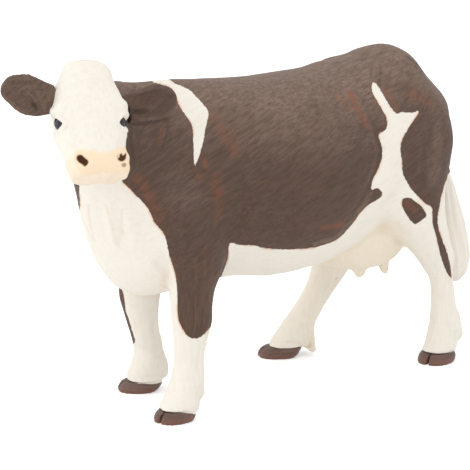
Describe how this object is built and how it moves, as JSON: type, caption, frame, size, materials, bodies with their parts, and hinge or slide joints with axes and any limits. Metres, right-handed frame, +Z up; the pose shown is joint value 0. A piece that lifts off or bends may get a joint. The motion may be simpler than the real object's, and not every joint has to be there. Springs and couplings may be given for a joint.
{
  "type": "cow figurine",
  "caption": "Free-standing dairy cow figurine in painted soft plastic, head turned to its left, with keyed head, legs, hooves, ears, eyes, udder and tail glued to a solid torso.",
  "frame": {"origin": "on the surface that the figure stands on, under the middle of its bounding box", "axes": "+X from the tail to the breast, +Y to the cow's left, +Z up"},
  "size_m": [0.1366, 0.0444, 0.0847],
  "materials": {
    "brown_coat": "matte brown paint on soft PVC with fine moulded hair, reddish where it is thin",
    "white_coat": "matte off-white paint on soft PVC with fine moulded hair",
    "udder_skin": "matte cream-pink paint on soft PVC",
    "hoof_horn": "satin dark brown paint on soft PVC",
    "eye_gloss": "gloss blue-black"
  },
  "bodies": {
    "root": {"torso": "brown_coat", "head": "white_coat", "left_ear": "brown_coat", "right_ear": "brown_coat", "left_eye": "eye_gloss", "right_eye": "eye_gloss", "front_left_leg": "white_coat", "front_right_leg": "white_coat", "hind_left_leg": "white_coat", "hind_right_leg": "white_coat", "front_left_hoof": "hoof_horn", "front_right_hoof": "hoof_horn", "hind_left_hoof": "hoof_horn", "hind_right_hoof": "hoof_horn", "udder": "udder_skin", "tail": "white_coat"}
  },
  "joints": []
}
